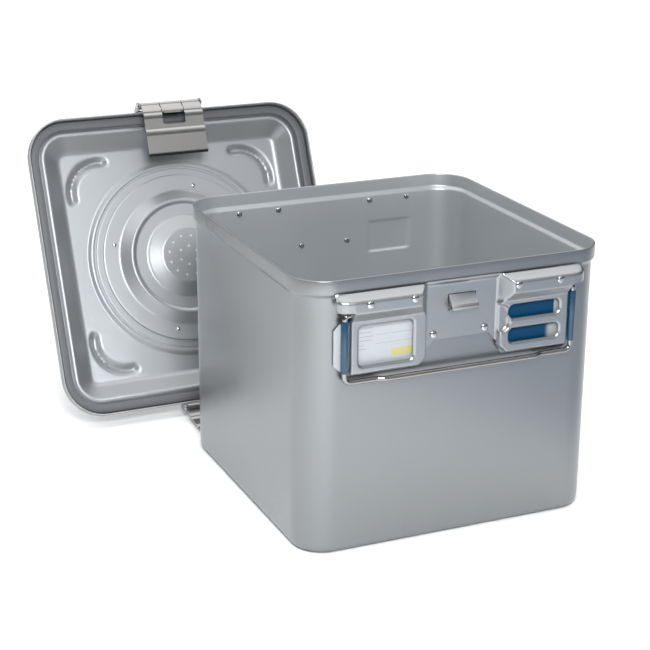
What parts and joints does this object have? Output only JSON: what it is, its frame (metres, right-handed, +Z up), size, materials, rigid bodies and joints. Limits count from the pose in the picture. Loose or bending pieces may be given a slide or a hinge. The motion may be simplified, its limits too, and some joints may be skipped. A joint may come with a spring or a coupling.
{
  "type": "sterilization container",
  "caption": "Square deep metal tub with riveted handle plates, wire carrying handles and label pockets, beside its open lid with gasket, filter holder and two latches.",
  "frame": {"origin": "middle of the tub's flat bottom", "axes": "+Z up, -Y towards the front handle plate, +X to the right as seen from the front"},
  "size_m": [0.4076, 0.5185, 0.3142],
  "materials": {
    "body_aluminium": "satin anodised",
    "plate_aluminium": "satin pressed sheet",
    "rivet_aluminium": "smooth",
    "wire_chrome": "polished",
    "grip_blue": "glossy sleeve",
    "card_white": "printed card",
    "tag_blue": "blue anodised",
    "lid_aluminium": "satin with a bright panel",
    "gasket_grey": "soft matte",
    "retainer_metal": "turned",
    "filter_white": "fibrous",
    "latch_metal": "satin"
  },
  "bodies": {
    "tub": {"tub_shell": "body_aluminium", "front_plate": "plate_aluminium", "back_plate": "plate_aluminium", "front_catch": "plate_aluminium", "back_catch": "plate_aluminium", "front_rivet_1": "rivet_aluminium", "front_rivet_2": "rivet_aluminium", "front_rivet_3": "rivet_aluminium", "front_rivet_4": "rivet_aluminium", "front_rivet_5": "rivet_aluminium", "front_rivet_6": "rivet_aluminium", "back_rivet_1": "rivet_aluminium", "back_rivet_2": "rivet_aluminium", "back_rivet_3": "rivet_aluminium", "back_rivet_4": "rivet_aluminium", "back_rivet_5": "rivet_aluminium", "back_rivet_6": "rivet_aluminium"},
    "front_carrying_handle": {"front_handle": "wire_chrome", "front_grip_left": "grip_blue", "front_grip_right": "grip_blue"},
    "back_carrying_handle": {"back_handle": "wire_chrome", "back_grip_left": "grip_blue", "back_grip_right": "grip_blue"},
    "front_card": {"front_label_card": "card_white"},
    "back_card": {"back_label_card": "card_white"},
    "front_tag": {"front_tag_plate": "tag_blue"},
    "back_tag": {"back_tag_plate": "tag_blue"},
    "lid": {"lid_shell": "lid_aluminium", "lid_gasket": "gasket_grey", "upper_latch_bracket": "latch_metal", "upper_latch_pin": "latch_metal", "upper_latch_bracket_rivet_left": "latch_metal", "upper_latch_bracket_rivet_right": "latch_metal", "lower_latch_bracket": "latch_metal", "lower_latch_pin": "latch_metal", "lower_latch_bracket_rivet_left": "latch_metal", "lower_latch_bracket_rivet_right": "latch_metal"},
    "filter_holder": {"filter_retaining_plate": "retainer_metal", "filter_sheet": "filter_white", "retainer_stud_1": "retainer_metal", "retainer_stud_2": "retainer_metal", "retainer_stud_3": "retainer_metal", "retainer_stud_4": "retainer_metal"},
    "upper_lid_latch": {"upper_latch": "latch_metal"},
    "lower_lid_latch": {"lower_latch": "latch_metal"}
  },
  "joints": [
    {"name": "lid_lift", "type": "slide", "parent": "tub", "child": "lid", "axis": [0, 0.6, 0.8], "range_m": [0, 0.25]},
    {"name": "front_handle_hinge", "type": "hinge", "parent": "tub", "child": "front_carrying_handle", "pos_m": [0, -0.1528, 0.2247], "axis": [-1, 0, 0], "range_deg": [0, 90]},
    {"name": "back_handle_hinge", "type": "hinge", "parent": "tub", "child": "back_carrying_handle", "pos_m": [0, 0.1528, 0.2247], "axis": [1, 0, 0], "range_deg": [0, 90]},
    {"name": "front_card_slide", "type": "slide", "parent": "tub", "child": "front_card", "axis": [-1, 0, 0], "range_m": [0, 0.06]},
    {"name": "back_card_slide", "type": "slide", "parent": "tub", "child": "back_card", "axis": [1, 0, 0], "range_m": [0, 0.06]},
    {"name": "front_tag_slide", "type": "slide", "parent": "tub", "child": "front_tag", "axis": [1, 0, 0], "range_m": [0, 0.05]},
    {"name": "back_tag_slide", "type": "slide", "parent": "tub", "child": "back_tag", "axis": [-1, 0, 0], "range_m": [0, 0.05]},
    {"name": "filter_holder_slide", "type": "slide", "parent": "lid", "child": "filter_holder", "axis": [0, -0.9075, 0.4201], "range_m": [0, 0.04]},
    {"name": "upper_latch_hinge", "type": "hinge", "parent": "lid", "child": "upper_lid_latch", "pos_m": [-0.0989, 0.33873, 0.30961], "axis": [-1, 0, 0], "range_deg": [0, 135]},
    {"name": "lower_latch_hinge", "type": "hinge", "parent": "lid", "child": "lower_lid_latch", "pos_m": [-0.0989, 0.20186, 0.01395], "axis": [-1, 0, 0], "range_deg": [0, 120]}
  ]
}
